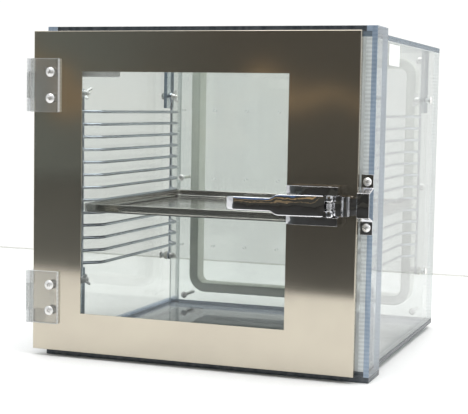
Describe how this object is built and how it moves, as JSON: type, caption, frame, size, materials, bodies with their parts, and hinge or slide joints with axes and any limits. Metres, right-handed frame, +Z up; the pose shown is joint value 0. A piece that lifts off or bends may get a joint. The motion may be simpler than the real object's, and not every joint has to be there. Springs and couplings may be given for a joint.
{
  "type": "dry storage cabinet",
  "caption": "Clear acrylic desiccator cabinet with a stainless framed door, chrome lever latch, wire tray racks, lift-out tray and rear purge plenum.",
  "frame": {"origin": "middle of the whole outline seen from above, on the surface that the cabinet stands on", "axes": "+Z up, +Y from the door towards the back, +X to the right when facing the door"},
  "size_m": [0.3416, 0.371, 0.319],
  "materials": {
    "clear_acrylic": "polished clear sheet",
    "collar_acrylic": "polished clear strip with blue-grey edges",
    "hinge_acrylic": "polished clear moulding",
    "brushed_door_steel": "fine vertical brush, half mirror",
    "tray_steel": "satin sheet",
    "rack_wire": "electropolished wire",
    "latch_chrome": "mirror plate",
    "fastener_steel": "bright zinc",
    "spring_steel": "dark wire",
    "door_seal": "grey closed-cell seal",
    "plenum_seal": "grey foam seal",
    "foot_rubber": "black rubber",
    "nylon": "natural nylon",
    "inlet_metal": "turned fitting"
  },
  "bodies": {
    "cabinet": {"bottom_panel": "clear_acrylic", "top_panel": "clear_acrylic", "left_wall": "clear_acrylic", "right_wall": "clear_acrylic", "back_panel": "clear_acrylic", "collar_bottom": "collar_acrylic", "collar_top": "collar_acrylic", "collar_left": "collar_acrylic", "collar_right": "collar_acrylic", "front_flange": "collar_acrylic", "rear_feet": "foot_rubber", "plenum_panel": "clear_acrylic", "plenum_gasket": "plenum_seal", "plenum_screws": "fastener_steel", "purge_inlet": "inlet_metal", "purge_inlet_nut": "inlet_metal", "rack_support_strips": "collar_acrylic", "rack_spacers": "nylon", "rack_screws": "fastener_steel", "rack_wing_nuts": "fastener_steel", "left_rack_uprights": "rack_wire", "left_rack_rungs": "rack_wire", "right_rack_uprights": "rack_wire", "right_rack_rungs": "rack_wire", "strike_plate": "latch_chrome", "strike_screws": "fastener_steel", "hinge_spacers": "hinge_acrylic", "hinge_body_screws": "fastener_steel", "upper_hinge_body_leaf": "hinge_acrylic", "upper_hinge_pin": "fastener_steel", "lower_hinge_body_leaf": "hinge_acrylic", "lower_hinge_pin": "fastener_steel"},
    "door": {"door_skin": "brushed_door_steel", "door_glazing": "clear_acrylic", "door_gasket": "door_seal", "hinge_door_screws": "fastener_steel", "upper_hinge_door_leaf": "hinge_acrylic", "lower_hinge_door_leaf": "hinge_acrylic", "latch_housing": "latch_chrome", "latch_pivot_pin": "fastener_steel", "latch_spring": "spring_steel", "latch_screws": "fastener_steel"},
    "handle": {"latch_handle": "latch_chrome"},
    "bolt": {"latch_bolt": "latch_chrome"},
    "shelf_tray": {"tray": "tray_steel"}
  },
  "joints": [
    {"name": "door_hinge", "type": "hinge", "parent": "cabinet", "child": "door", "pos_m": [-0.16765, -0.162, 0.16], "axis": [0, 0, -1], "range_deg": [0, 180]},
    {"name": "handle_pivot", "type": "hinge", "parent": "door", "child": "handle", "pos_m": [0.13635, -0.172, 0.1595], "axis": [0, 0, 1], "range_deg": [0, 40], "stiffness_Nm_per_rad": 0.5, "springref_deg": -11.46},
    {"name": "bolt_slide", "type": "slide", "parent": "door", "child": "bolt", "axis": [-1, 0, 0], "range_m": [0, 0.0045]},
    {"name": "tray_slide", "type": "slide", "parent": "cabinet", "child": "shelf_tray", "axis": [0, -1, 0], "range_m": [-0.004, 0.034]}
  ],
  "couplings": [
    {"joint": "bolt_slide", "follows": "handle_pivot", "m_per_rad": 0.00626}
  ]
}
